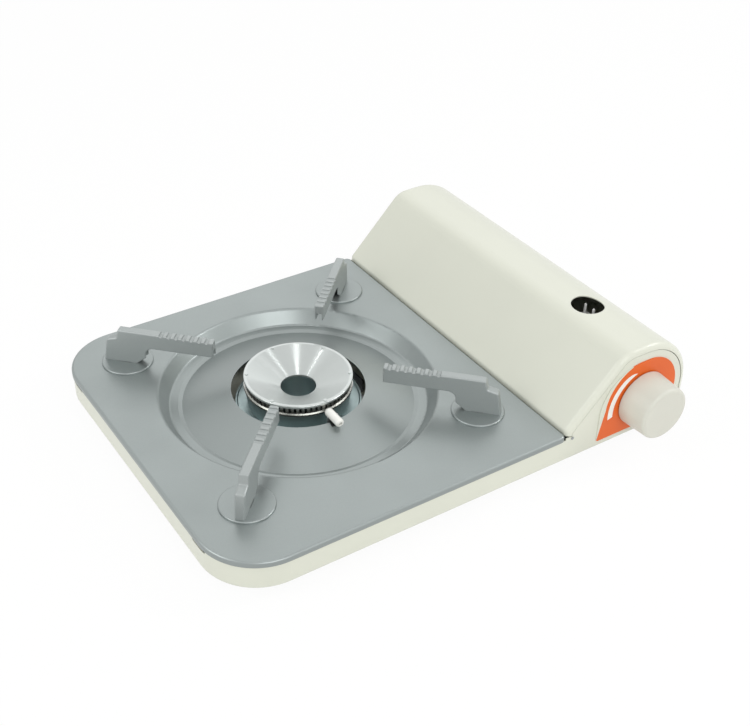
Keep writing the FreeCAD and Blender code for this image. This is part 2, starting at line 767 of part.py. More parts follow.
bowl = new_body("burner_bowl")
flange_low = s.bowl_flange_z - 1
spin(bowl, outline(new_sketch(bowl, "XZ_Plane", **burner_axis), [
    (chimney_inner, bowl_base), (bowl_foot_radius, bowl_base),
    (bowl_radius(flange_low), flange_low), (bowl_flange, flange_low),
    (bowl_flange + 1, s.bowl_flange_z + 0.8), (bowl_flange, s.bowl_flange_z + 0.8),
    (bowl_flange - 0.8, s.bowl_flange_z), (bowl_radius(s.bowl_flange_z), s.bowl_flange_z),
    (bowl_rim_radius, s.bowl_rim_z), (bowl_rim_radius - s.bowl_wall, s.bowl_rim_z),
    (bowl_foot_radius - s.bowl_wall, bowl_base + s.bowl_wall),
    (s.chimney_radius + 1, bowl_base + s.bowl_wall), (s.chimney_radius, chimney_top),
    (chimney_inner, chimney_top)]))
jet_x = knob_x - s.jet_left - burner_x
jet_y = s.jet_back - front - s.burner_y
tube_end = root(jet_x * jet_x + jet_y * jet_y)
tube_turn = arctan(jet_y / jet_x)
tube_top = s.tube_z + s.tube_height / 2
port = new_sketch(bowl, "XY_Plane", tube_top - s.tube_wall, turn=tube_turn,
                  about=(burner_x, s.burner_y))
pocket(bowl, box_outline(port, bowl_foot_radius - s.bowl_wall * 3, bowl_foot_radius + 6,
                         -s.tube_width / 2 + s.tube_wall, s.tube_width / 2 - s.tube_wall),
       s.tube_height - s.tube_wall * 2)

ring = new_body("burner_ring")
ring_inner = ring_radius - s.ring_wall
spin(ring, outline(new_sketch(ring, "XZ_Plane", **burner_axis), [
    (ring_inner, ring_base), (ring_radius + s.ring_flange, ring_base),
    (ring_radius + s.ring_flange, ring_base + s.ring_flange_height),
    (ring_radius, ring_base + s.ring_flange_height), (ring_radius, ring_top),
    (ring_inner, ring_top)]))
port_plan = box_outline(
    new_sketch(ring, "XY_Plane", ring_top, about=(burner_x, s.burner_y)),
    ring_inner - 1, ring_radius + 1, -s.port_width / 2, s.port_width / 2)
around(ring, pocket(ring, port_plan, s.port_depth), s.port_count, port_plan)

cap = new_body("burner_cap")
under_edge = s.cap_hole + (ring_top - s.cap_hole_z + cap_drop) / cap_rise
spin(cap, outline(new_sketch(cap, "XZ_Plane", **burner_axis), [
    (s.cap_hole, s.cap_hole_z), (s.cap_radius - s.cap_rim, s.cap_top),
    (s.cap_radius, s.cap_top, 0.6), (s.cap_radius, ring_top),
    (under_edge, ring_top), (s.cap_hole, s.cap_hole_z - cap_drop)]))
nub_plan = new_sketch(cap, "XY_Plane", s.cap_top - 1, turn=30, about=(burner_x, s.burner_y))
circle(nub_plan, s.cap_radius - s.nub_radius * 2, 0, s.nub_radius)
around(cap, pad(cap, nub_plan, 1 + s.nub_radius * 0.4), s.nub_count, nub_plan)

# Strap that carries the burner on the pan floor, turned up at both ends.
strap = new_body("burner_strap")
lift = floor_z + s.strap_sheet
pad(strap, outline(new_sketch(strap, "XZ_Plane", -s.strap_y, about=(burner_x, 0)), [
    (-s.strap_reach, floor_z, 1.6), (s.strap_reach, floor_z, 1.6),
    (s.strap_reach, s.strap_height), (s.strap_reach - s.strap_sheet, s.strap_height),
    (s.strap_reach - s.strap_sheet, lift), (-s.strap_reach + s.strap_sheet, lift),
    (-s.strap_reach + s.strap_sheet, s.strap_height), (-s.strap_reach, s.strap_height)]),
    s.strap_width, "Symmetric")

# Spark electrode: a ceramic rod with its wire, cradled by a plate that stands beside the
# bowl and passes up through the hole in the tray.
plate = new_body("electrode_bracket")
plate_r = bowl_flange + 1 + s.seat_gap * 2
pad(plate, outline(new_sketch(plate, "YZ_Plane", burner_x, about=(s.burner_y, 0)), [
    (-plate_r, floor_z), (-plate_r, s.rod_z), (-plate_r - s.electrode_sheet, s.rod_z),
    (-plate_r - s.electrode_sheet, floor_z + s.electrode_sheet),
    (-plate_r - 12, floor_z + s.electrode_sheet), (-plate_r - 12, floor_z)]),
    s.electrode_plate, "Symmetric")
pocket_all(plate, circle(new_sketch(plate, "XZ_Plane", about=(burner_x, 0)), 0, s.rod_z,
                         s.rod_radius + s.seat_gap), both=True)
rod = new_body("electrode_ceramic")
rod_axis = {"offset": s.rod_z, "about": (burner_x, s.burner_y)}
wire_bore = s.wire_radius + s.seat_gap
spin(rod, outline(new_sketch(rod, "XY_Plane", **rod_axis), [
    (wire_bore, -rod_start), (s.rod_radius - 0.6, -rod_start), (s.rod_radius, -rod_start - 1.4),
    (s.rod_radius, -rod_end, s.rod_radius * 0.55), (wire_bore, -rod_end)]))
wire = new_body("electrode_wire")
spin(wire, outline(new_sketch(wire, "XY_Plane", **rod_axis), [
    (0, -ring_radius - s.ring_flange - 0.8), (s.wire_radius, -ring_radius - s.ring_flange - 1.6),
    (s.wire_radius, -rod_end + 1), (0, -rod_end + 1)]))

# Gas path: a flattened mixing tube under the tray, its air shutter, the jet, the valve
# block and the pipe from the governor.


def tube_body(label):
    """A body whose X axis runs from the burner centre along the mixing tube."""
    body = new_body(label)
    bind(body, "Placement.Base.x", origin_x + burner_x)
    bind(body, "Placement.Base.y", origin_y + s.burner_y)
    body.Placement = Placement(Vector(), Rotation(Vector(0, 0, 1), tube_turn.value))
    bind(body, "Placement.Rotation.Angle", tube_turn)
    return body


def tube_section(body, offset, grow):
    """The tube's flat oval section, made larger all round."""
    wide = s.tube_width / 2 + grow
    high = s.tube_height / 2 + grow
    return box_outline(new_sketch(body, "YZ_Plane", offset), -wide, wide,
                       s.tube_z - high, s.tube_z + high, high * 0.96)


tube = tube_body("mixing_tube")
pad(tube, tube_section(tube, bowl_foot_radius - 8, Size(0)), tube_end - bowl_foot_radius + 8)
pocket(tube, tube_section(tube, bowl_foot_radius - 9, -s.tube_wall), tube_end + 9, back=True)
pocket_all(tube, circle(new_sketch(tube, "XY_Plane", tube_top + 1), 0, 0,
                        bowl_radius(tube_top) + s.seat_gap))
shutter = tube_body("air_shutter")
shutter_start = tube_end - s.shutter_length + 2
pad(shutter, tube_section(shutter, shutter_start, s.seat_gap + s.tube_wall), s.shutter_length)
pocket(shutter, tube_section(shutter, shutter_start - 1, s.seat_gap), s.shutter_length + 2, back=True)
pocket_all(shutter, box_outline(new_sketch(shutter, "XZ_Plane"), shutter_start - 1,
                                tube_end + 3, s.tube_z - s.tube_height, s.tube_z - 2), both=True)
jet = tube_body("jet")
jet_tip = tube_end + s.jet_gap
feature(jet, "Revolution", Angle=360.0, Profile=outline(
    new_sketch(jet, "XZ_Plane", about=(0, s.tube_z)), [
        (jet_tip, s.jet_bore), (jet_tip, s.jet_radius * 0.45), (jet_tip + 3, s.jet_radius),
        (jet_tip + s.jet_length, s.jet_radius), (jet_tip + s.jet_length, s.jet_bore)]),
        ReferenceAxis=(jet.Group[-1], ["H_Axis"]))
valve = tube_body("valve_block")
valve_face = jet_tip + s.jet_length - 4
pad(valve, box_outline(new_sketch(valve, "XY_Plane", floor_z), valve_face,
                       valve_face + s.valve_length, -s.valve_width / 2, s.valve_width / 2, 2),
    s.valve_height)
pocket(valve, circle(new_sketch(valve, "YZ_Plane", valve_face - 1), 0, s.tube_z,
                     s.jet_radius + s.pin_clearance), 6, back=True)
pipe_at = valve_face + s.valve_length * 0.7
valve_top = floor_z + s.valve_height
pipe = tube_body("gas_pipe")
pad(pipe, circle(circle(new_sketch(pipe, "XY_Plane", valve_top), pipe_at, 0, s.pipe_radius),
                 pipe_at, 0, s.pipe_radius * 0.6), s.pipe_length)

# Governor behind the front panel: a die-cast body on two feet, its cover and screws, the
# gas inlet, the holding magnet and the white guide whose prongs show in the lid window.
governor_y = -(front - s.pan_sheet - s.governor_gap)
cover_y = governor_y + s.governor_depth
cover_face = cover_y + s.cover_sheet
governor = new_body("governor_body")
pad(governor, circle(new_sketch(governor, "XZ_Plane", -cover_y), knob_x, s.knob_z,
                     s.governor_radius), s.governor_depth)
bevel_edges(governor, lambda p: near(p.y, governor_y), 2)
for way in (-1, 1):
    middle = knob_x + way * s.governor_radius * 0.65
    pad(governor, box_outline(new_sketch(governor, "XY_Plane", floor_z), middle - 3, middle + 3,
                              governor_y + 2, governor_y + 2 + s.governor_foot), s.knob_z - floor_z - 4)
pocket(governor, circle(new_sketch(governor, "XZ_Plane", -governor_y + 1), knob_x, s.knob_z,
                        s.shaft_radius + s.pin_clearance), s.shaft_grip + 2)
cover = new_body("governor_cover")
pad(cover, circle(new_sketch(cover, "XZ_Plane", -cover_face), knob_x, s.knob_z, s.cover_radius),
    s.cover_sheet)
bevel_edges(cover, lambda p: near(p.y, cover_face), 1)
screw_ring = s.cover_radius - 3
screw_angles = (-20, -60, -120, -160)
screws = []
for angle in screw_angles:
    x = knob_x + screw_ring * cosine(Size(angle))
    z = s.knob_z + screw_ring * sine(Size(angle))
    pocket_all(cover, circle(new_sketch(cover, "XZ_Plane", -cover_face - 1), x, z,
                             s.screw_radius + s.seat_gap), back=True)
    pocket(governor, circle(new_sketch(governor, "XZ_Plane", -cover_y - 1), x, z,
                            s.screw_radius + s.seat_gap), s.screw_grip + 2, back=True)
    screw = doc.addObject("PartDesign::Body", "screw_%d" % len(screws))
    spin(screw, outline(new_sketch(screw, "XY_Plane", z, about=(x, cover_face)), [
        (0, -s.cover_sheet - s.screw_grip), (s.screw_radius, -s.cover_sheet - s.screw_grip), (s.screw_radius, 0),
        (s.screw_radius * 1.7, 0), (s.screw_radius * 1.7, 1.2), (0, 1.2)]))
    screws.append(screw)
group("governor_screws", screws)
inlet = new_body("gas_inlet")
spin(inlet, outline(new_sketch(inlet, "XY_Plane", s.cartridge_z, about=(knob_x, cover_face)), [
    (2, 0), (s.inlet_radius, 0), (s.inlet_radius, s.inlet_length - 5),
    (s.inlet_radius - 2, s.inlet_length - 4), (s.inlet_radius - 2, s.inlet_length),
    (2, s.inlet_length)]))
magnet = new_body("holding_magnet")
pad(magnet, circle(circle(new_sketch(magnet, "XZ_Plane", -cover_face), knob_x, s.cartridge_z,
                          s.magnet_radius), knob_x, s.cartridge_z, s.inlet_radius + s.seat_gap),
    s.magnet_width, back=True)
guide = new_body("cartridge_guide")
prong_x = window_x + s.prong_offset
guide_z = s.knob_z + s.cover_radius + s.seat_gap
pad(guide, box_outline(new_sketch(guide, "XY_Plane", guide_z), knob_x - 0.5, prong_x + 4,
                       governor_y + 8, s.prong_y + s.prong_pitch + 3, 2), s.guide_sheet)
for y in (s.prong_y, s.prong_y + s.prong_pitch):
    pad(guide, circle(new_sketch(guide, "XY_Plane", guide_z + s.guide_sheet), prong_x, y,
                      s.prong_radius), s.prong_top - guide_z - s.guide_sheet)
round_edges(guide, lambda p: near(p.z, s.prong_top), s.prong_radius * 0.8)

# Cradle on the pan floor: two upturned rails that the cartridge lies between.
cradle = new_body("cartridge_cradle")
rail = s.cradle_span / 2
rail_top = s.cartridge_z - root(s.cartridge_radius * s.cartridge_radius - rail * rail) - s.seat_gap
rail_in = rail - s.cradle_sheet
pad(cradle, outline(new_sketch(cradle, "XZ_Plane", -s.cradle_y, about=(knob_x, 0)), [
    (-rail, floor_z, 1.2), (rail, floor_z, 1.2), (rail, rail_top), (rail_in, rail_top),
    (rail_in, floor_z + s.cradle_sheet), (-rail_in, floor_z + s.cradle_sheet),
    (-rail_in, rail_top), (-rail, rail_top)]), s.cradle_length, "Symmetric")

# Partition between the burner side and the cartridge side, notched over the mixing tube.
wall = new_body("partition")
partition_x = tray_split + s.partition_gap
reach = front - s.pan_bend
far = partition_x + s.partition_sheet
pad(wall, outline(new_sketch(wall, "XZ_Plane"), [
    (partition_x, floor_z), (far + s.partition_foot, floor_z), (far + s.partition_foot, floor_z + s.partition_sheet),
    (far, floor_z + s.partition_sheet), (far, floor_z + s.partition_height),
    (partition_x, floor_z + s.partition_height)]), reach * 2, "Symmetric")
tube_path = new_sketch(wall, "XY_Plane", tube_top + s.seat_gap, turn=tube_turn,
                       about=(burner_x, s.burner_y))
pocket_all(wall, box_outline(tube_path, tube_end + 4 - s.tube_notch, tube_end + 4,
                             -s.tube_width / 2 - s.seat_gap, s.tube_width / 2 + s.seat_gap))

# Front plate behind the knob, and the knob on its shaft with the igniter cam.
label_plate = new_body("knob_plate")
plate_left = knob_x - s.plate_left_reach
plate_right = knob_x + s.plate_right_reach
pad(label_plate, outline(new_sketch(label_plate, "XZ_Plane", front + s.plate_sheet), [
    (plate_left, s.plate_bottom, 2), (plate_right, s.plate_bottom, 8),
    (plate_right, s.plate_top, s.plate_right_round),
    (plate_left, s.plate_top, s.plate_left_round)]), s.plate_sheet, back=True)
pocket_all(label_plate, circle(new_sketch(label_plate, "XZ_Plane"), knob_x, s.knob_z,
                               s.shaft_radius + s.seat_gap), both=True)
knob_axis = {"offset": s.knob_z, "about": (knob_x, 0)}
knob_back = -(front + s.plate_sheet + s.knob_gap)
knob_front = knob_back - s.knob_length
knob = new_body("knob")
hub_r = s.shaft_radius + s.pin_clearance
skin = s.knob_wall
spin(knob, outline(new_sketch(knob, "XY_Plane", **knob_axis), [
    (0, knob_front), (s.knob_radius - s.knob_lean, knob_front, s.knob_edge),
    (s.knob_radius, knob_back), (s.knob_radius - skin, knob_back),
    (s.knob_radius - skin - s.knob_lean * 0.8, knob_front + skin * 1.6),
    (hub_r + skin, knob_front + skin * 1.6), (hub_r + skin, knob_back), (hub_r, knob_back),
    (hub_r, knob_front + skin * 2), (0, knob_front + skin * 2)]))
shaft = new_body("knob_shaft")
shaft_front = knob_front + skin * 2 + s.seat_gap
shaft_back = governor_y + s.shaft_grip
spin(shaft, outline(new_sketch(shaft, "XY_Plane", **knob_axis), [
    (0, shaft_front), (s.shaft_radius, shaft_front), (s.shaft_radius, shaft_back - 0.6),
    (s.shaft_radius - 0.6, shaft_back), (0, shaft_back)]))

# Igniter: as the knob turns, a rising cam on its shaft pushes the plunger into the piezo
# unit by the same amount for each degree.
cam_y = -(front - s.pan_sheet - s.cam_room)


def cam_shape():
    low = SIZES["cam_radius"]
    sweep = SIZES["knob_turn"] + SIZES["cam_dwell"]
    slope = SIZES["cam_rise"] / SIZES["knob_turn"]

    def at(radius, angle):
        angle = math.radians(angle)
        return Vector(radius * math.cos(angle), 0, radius * math.sin(angle))

    rise = Part.BSplineCurve()
    rise.interpolate([at(low + slope * sweep * step / 12, 180 - sweep * step / 12)
                      for step in range(13)])
    end = 180 - sweep
    fall = end - SIZES["cam_fall"]
    drop = Part.LineSegment(at(low + slope * sweep, end), at(low, fall))
    rest = Part.Arc(at(low, fall), at(low, (fall - 180) / 2), at(low, -180))
    face = Part.Face(Part.Wire([curve.toShape() for curve in (rise, drop, rest)]))
    blank = face.extrude(Vector(0, SIZES["cam_width"], 0))
    bore = Part.makeCylinder(SIZES["shaft_radius"] + SIZES["pin_clearance"],
                             SIZES["cam_width"] + 2, Vector(0, -1, 0), Vector(0, 1, 0))
    return blank.cut(bore)


cam = doc.addObject("Part::Feature", "igniter_cam")
cam.Label = "igniter_cam"
cam.Shape = cam_shape()
bind(cam, "Placement.Base.x", origin_x + knob_x)
bind(cam, "Placement.Base.y", origin_y + cam_y)
bind(cam, "Placement.Base.z", s.foot_height + s.knob_z)
nodes["igniter_cam"] = cam
plunger_tip = knob_x - s.cam_radius - s.seat_gap
plunger_end = plunger_tip - s.plunger_length
plunger_y = cam_y + s.cam_width / 2
nose = 3
igniter_face = plunger_tip - nose - s.cam_rise - 1
plunger = new_body("igniter_plunger")
feature(plunger, "Revolution", Angle=360.0, Profile=outline(
    new_sketch(plunger, "XZ_Plane", -plunger_y, about=(0, s.knob_z)), [
        (plunger_end, 0), (plunger_tip, 0), (plunger_tip, s.plunger_radius * 0.6),
        (plunger_tip - nose, s.plunger_radius * 0.6), (plunger_tip - nose, s.plunger_radius),
        (plunger_end, s.plunger_radius)]),
        ReferenceAxis=(plunger.Group[-1], ["H_Axis"]))
igniter = new_body("piezo_igniter")
pad(igniter, box_outline(new_sketch(igniter, "YZ_Plane", igniter_face - s.igniter_length),
                         -front + s.pan_sheet, plunger_y + s.igniter_width / 2,
                         s.knob_z - s.igniter_width / 2, s.knob_z + s.igniter_width / 2, 1),
    s.igniter_length)
pocket(igniter, circle(new_sketch(igniter, "YZ_Plane", igniter_face + 1), plunger_y, s.knob_z,
                       s.plunger_radius + s.pin_clearance),
       igniter_face - plunger_end + s.cam_rise + 1.5)

# Small dark studs in the end walls under the front corners of the lid.
studs = []
for end in (-1, 1):
    stud = doc.addObject("PartDesign::Body", "stud_%d" % len(studs))
    stud_x = lid_left + s.lid_band + 0.3
    stud_z = s.lid_wall_height - s.stud_radius - 0.2
    pocket_all(pan, circle(new_sketch(pan, "XZ_Plane"), stud_x, stud_z, s.stud_radius * 0.6),
               back=end < 0)
    pad(stud, circle(new_sketch(stud, "XZ_Plane", -end * (front + 0.5)), stud_x, stud_z,
                     s.stud_radius), 0.5, back=end < 0)
    pad(stud, circle(new_sketch(stud, "XZ_Plane", -end * front), stud_x, stud_z,
                     s.stud_radius * 0.6 - s.pin_clearance), s.pan_sheet, back=end < 0)
    studs.append(stud)
group("lid_studs", studs)

doc.recompute()
os.makedirs("parts", exist_ok=True)
for thing in doc.Objects:
    if "Invalid" in thing.State or "Error" in thing.State:
        raise RuntimeError("%s is in state %s" % (thing.Label, thing.State))
for label, thing in nodes.items():
    shape = thing.Shape
    if shape.isNull() or not shape.isValid() or not shape.Solids:
        raise RuntimeError("%s has no valid solid" % label)
    shape.exportStep("parts/%s.step" % label)
    box = shape.BoundBox
    print("%-26s %d solid(s) %10.0f mm3  x %7.1f %7.1f  y %7.1f %7.1f  z %6.1f %6.1f" % (
        label, len(shape.Solids), shape.Volume, box.XMin, box.XMax, box.YMin, box.YMax,
        box.ZMin, box.ZMax))
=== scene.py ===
# %% [markdown]
# # A butane cassette stove, dressed for its photograph
#
# The engineering model gives every rigid piece at its real size. This script leaves those
# pieces where they are and gives them their finishes: powder-coated sheet steel, aluminium
# coloured enamel, spun steel, cast metal, glazed ceramic and moulded plastic. It then adds
# what is only printed, and lights the stove as a shop photograph does.
#
# The frame is loaded first, because every finish is hung on one of its pieces.

# %% Load the engineering model
import math
import bpy
from mathutils import Matrix, Vector


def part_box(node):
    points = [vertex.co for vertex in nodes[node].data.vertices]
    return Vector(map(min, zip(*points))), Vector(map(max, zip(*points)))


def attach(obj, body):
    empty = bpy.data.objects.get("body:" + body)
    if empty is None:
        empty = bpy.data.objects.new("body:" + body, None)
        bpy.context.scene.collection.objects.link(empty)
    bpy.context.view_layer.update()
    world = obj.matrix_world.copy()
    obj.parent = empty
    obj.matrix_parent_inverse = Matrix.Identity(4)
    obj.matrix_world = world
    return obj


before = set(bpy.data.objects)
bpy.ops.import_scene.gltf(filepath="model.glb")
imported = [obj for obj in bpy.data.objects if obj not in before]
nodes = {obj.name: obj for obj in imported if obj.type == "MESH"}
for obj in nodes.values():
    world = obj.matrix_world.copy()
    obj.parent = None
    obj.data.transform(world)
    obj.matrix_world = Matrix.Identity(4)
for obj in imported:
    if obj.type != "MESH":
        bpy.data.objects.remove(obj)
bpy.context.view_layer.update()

# %% [markdown]
# ## Colour and nodes
#
# A colour card gives sRGB values, while a shader mixes linear ones, so one function turns
# the first into the second. A material could be wired by hand, node after node, but that
# takes three lines a node. Here one function sets or links the sockets of a node, and one
# more adds a node and hands it to the first, so a node takes one call. Where a socket is
# given a whole node, it takes that node's first output. A name such as _0 is a socket's
# number, which is needed where two sockets share a name.

# %% Helpers for colours and nodes


def linear(code):
    """The linear colour of an sRGB hex code."""
    channels = [int(code[i:i + 2], 16) / 255 for i in (0, 2, 4)]
    lit = [c / 12.92 if c <= 0.04045 else ((c + 0.055) / 1.055) ** 2.4 for c in channels]
    return (*lit, 1.0)


def wire(tree, node, **sockets):
    """Set or link each named socket of a node."""
    for name, value in sockets.items():
        socket = node.inputs[int(name[1:]) if name[0] == "_" else name.replace("_", " ")]
        if isinstance(value, bpy.types.Node):
            value = value.outputs[0]
        if isinstance(value, bpy.types.NodeSocket):
            tree.links.new(value, socket)
        else:
            socket.default_value = value
    return node


def add(tree, kind, settings=None, stops=(), **sockets):
    """A new node with its settings, its colour stops if it has any, and its sockets."""
    node = tree.nodes.new(kind)
    for name, value in (settings or {}).items():
        setattr(node, name, value)
    for number, (position, color) in enumerate(stops):
        node.color_ramp.elements[number].position = position
        node.color_ramp.elements[number].color = color
    return wire(tree, node, **sockets)


print("mid grey is", round(linear("808080")[0], 3), "in linear light")

# %% [markdown]
# ## What makes a finish look real
#
# No factory finish is quite even. Its gloss wavers, its tone drifts a little, and its skin
# has a grain of its own. A photograph of each could be wrapped round the piece, but it
# would need unwrapping and would blur close up. Noise that fills space needs neither, and
# its size can be given in millimetres, as it would be measured on the real sheet.
#
# Every finish below is therefore one call with up to three patterns: how far the gloss
# wavers, how much darker the dark patches are, and how deep the skin is. Blender's noise
# seldom leaves the span from 0.3 to 0.7, so that span is stretched over each pattern.

# %% One function for a patterned finish

noise_low = 0.3
noise_high = 0.7


def surface(name, code, gloss, waver=None, tone=None, skin=None, metallic=0.0, ior=None, coat=0.0):
    """A material whose gloss, tone and skin each follow noise of a real size.

    waver is the least and the most gloss, tone is the share that dark patches keep, and
    skin is the depth in millimetres and its strength. Each ends with its noise: the size in
    millimetres and the detail. A metal is given no ior and keeps the shader's own.
    """
    made = bpy.data.materials.new(name)
    made.use_nodes = True
    tree = made.node_tree
    color = linear(code)
    shader = wire(tree, tree.nodes["Principled BSDF"], Base_Color=color, Metallic=metallic,
                  Roughness=gloss, Coat_Weight=coat, Coat_Roughness=0.12)
    if ior:
        wire(tree, shader, IOR=ior)
    where = add(tree, "ShaderNodeTexCoord").outputs["Object"]
    noises = {}
    for size, detail in dict.fromkeys(pattern[-1] for pattern in (waver, tone, skin) if pattern):
        noises[size, detail] = add(tree, "ShaderNodeTexNoise", Vector=where, Scale=1000.0 / size,
                                   Detail=detail)
    if waver:
        least, most, pattern = waver
        wavering = add(tree, "ShaderNodeMapRange", Value=noises[pattern], From_Min=noise_low,
                       From_Max=noise_high, To_Min=least, To_Max=most)
        wire(tree, shader, Roughness=wavering)
    if tone:
        share, pattern = tone
        darker = tuple(channel * share for channel in color[:3]) + (1.0,)
        drift = add(tree, "ShaderNodeValToRGB", _0=noises[pattern],
                    stops=((noise_low, darker), (noise_high, color)))
        wire(tree, shader, Base_Color=drift)
    if skin:
        depth, strength, pattern = skin
        relief = add(tree, "ShaderNodeBump", Height=noises[pattern], Distance=depth / 1000,
                     Strength=strength)
        wire(tree, shader, Normal=relief)
    return made


print("noise from", noise_low, "to", noise_high, "drives gloss and tone")

# %% [markdown]
# ## Powder-coated steel
#
# The case and the lid are sheet steel under a baked powder coat. As the powder melts, the
# film levels out in ripples of about a millimetre, the orange peel that breaks up the edges
# of a reflection. A plain colour would be simpler, but a lid this wide and even would look
# like card. The film is plastic, so it is no metal to the shader, and a weak clear coat
# adds a second, sharper highlight to it.

# %% Make the powder coat


def powder_coat(name, code, gloss=0.34):
    cloud = (60.0, 2.0)
    peel = (1.3, 2.0)
    return surface(name, code, gloss, (gloss - 0.03, gloss + 0.05, cloud), (0.975, cloud),
                   (0.012, 0.5, peel), ior=1.5, coat=0.15)


case_white = "DADCCE"
warm_white = powder_coat("powder coat, warm white", case_white)
print("made", warm_white.name)

# %% [markdown]
# ## Aluminium-coloured coat
#
# The drip tray is steel with a thin coat full of aluminium flakes, which lie flat, so the
# sheet reflects like dull metal with a fine scatter. It could be a plain metal, but then
# the well would show dark where it mirrors the dark, and the real coat never goes so dark.
# Part metal and part paint gives both. The pot supports have a greyer enamel with fewer
# flakes. The real flakes are far too fine to see, so their noise is drawn coarser.

# %% Make the coats of the tray and the pot supports


def flake_coat(name, code, metallic, gloss, flake):
    cloud = (45.0, 3.0)
    scatter = (flake, 1.0)
    return surface(name, code, gloss, (gloss - 0.04, gloss + 0.06, cloud), (0.93, scatter),
                   (0.006, 0.6, scatter), metallic, ior=1.5)


tray_coat = flake_coat("aluminium coat on steel", "989F9E", 0.76, 0.36, 0.35)
support_coat = flake_coat("grey enamel on pressed steel", "A4AAA9", 0.45, 0.38, 0.5)
print("made", tray_coat.name, "and", support_coat.name)

# %% [markdown]
# ## Bare metals
#
# Under the tray almost everything is bare: zinc-plated sheet, die-cast zinc, turned brass,
# and a burner bowl of cast aluminium that heat has darkened. They differ in three things
# that the eye picks up at once, which are colour, gloss and grain, so one short function
# takes those. Turned parts have a fine grain, drawn coarser here than real tool marks so
# that it shows, plated sheet has large soft patches, and castings are coarse and dull.

# %% Make the bare metals


def bare_metal(name, code, gloss, grain=2.0, depth=0.01, metallic=1.0):
    pattern = (grain, 3.0)
    return surface(name, code, gloss, (gloss * 0.85, gloss * 1.2, pattern),
                   skin=(depth, 0.5, pattern), metallic=metallic)


turned_steel = bare_metal("turned steel, bright", "C9CAC6", 0.25, 0.6, 0.004)
cast_metal = bare_metal("cast aluminium, heat darkened", "9FAEAE", 0.4, 1.6, 0.06)
zinc_plate = bare_metal("zinc plated sheet", "A3A7A8", 0.38, 12.0, 0.01)
die_cast = bare_metal("die-cast zinc alloy", "7C7F80", 0.5, 2.5, 0.05)
brass = bare_metal("turned brass", "B99A56", 0.28, 1.0, 0.006)
ferrite = bare_metal("sintered ferrite", "2B2C2E", 0.55, 0.8, 0.02)
print("made", len(bpy.data.materials), "materials so far")

# %% [markdown]
# ## The spun burner cap
#
# The cap is spun and polished, so thousands of scratches run round it. They throw light
# across themselves: a small lamp becomes a bright streak that points at the middle, as on
# the bottom of a pan. Each scratch could be bump, but at this size that only glitters. The
# shader's anisotropy does the same to the highlight as a whole. Its tangent runs round the
# cap's axis and is turned by a quarter, because Blender stretches a highlight along the
# tangent and here it has to stretch across the scratches. A fifth of the surface is left
# to plain colour, so that the side turned away from the lamps doesn't go black.

# %% Make the spun steel

spun_steel = bare_metal("spun and polished steel", "BFC4C2", 0.22, 0.8, 0.002, metallic=0.8)
spun = spun_steel.node_tree
round_axis = add(spun, "ShaderNodeTangent", {"direction_type": "RADIAL", "axis": "Z"})
wire(spun, spun.nodes["Principled BSDF"], Tangent=round_axis, Anisotropic=0.9,
     Anisotropic_Rotation=0.25)
print("made", spun_steel.name)

# %% [markdown]
# ## Mouldings, rubber, ceramic and print
#
# The knob is satin plastic, and its mould was spark eroded, which leaves a fine even skin.
# The prongs are white nylon, the piezo unit is smooth black plastic and the feet are matt
# rubber. The electrode's sleeve is glazed ceramic, the glossiest piece of all, with a
# slightly wavy glaze. The front plate carries a screen-printed film, which is thin and
# nearly smooth. A function for each could be written, but none of them is a metal and they
# differ only in numbers, so one is enough. A spark-eroded skin is really a tenth of a
# millimetre or so in grain. That is too fine to show, so it is drawn at half a millimetre.

# %% Make the plastics, the rubber, the ceramic and the print


def moulding(name, code, gloss, grain=0.5, depth=0.01, ior=1.49):
    spark = (grain, 2.0)
    drift = (25.0, 3.0)
    return surface(name, code, gloss, (gloss - 0.04, gloss + 0.04, spark), (0.97, drift),
                   (depth, 0.6, spark), ior=ior)


ivory = moulding("satin plastic, ivory", "D3D3C8", 0.42)
nylon = moulding("white nylon", "FAFAF8", 0.4)
black_plastic = moulding("black plastic", "141414", 0.35)
rubber = moulding("black rubber", "121212", 0.8, 0.8, 0.03, ior=1.52)
ceramic = moulding("glazed ceramic", "F4F4EE", 0.15, 3.0, 0.01, ior=1.56)
orange = moulding("orange print on metal", "E4641C", 0.4, 0.8, 0.004, ior=1.4)
white_print = moulding("white print", "F4F3EE", 0.32, 0.8, 0.003, ior=1.5)
print("made", len(bpy.data.materials), "materials in all")

# %% [markdown]
# ## The outline of the orange
#
# The orange is printed on a plate that is a little larger than the print, and what it
# leaves free has the colour of the case. The print could be a thin piece of its own on the
# plate. Since it is only ink, its outline is part of the material instead: a disc round the
# knob's axis, and below it a field whose left edge leans in to meet the disc.

# %% Draw the outline in the material

knob_low, knob_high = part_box("knob")
axis_x = (knob_low.x + knob_high.x) / 2
axis_z = (knob_low.z + knob_high.z) / 2
disc_middle = (axis_x - 0.0004, 0.0, axis_z + 0.0002)
disc_radius = 0.0329
field_top = 0.007
field_left = -0.0330
field_lean = 0.197

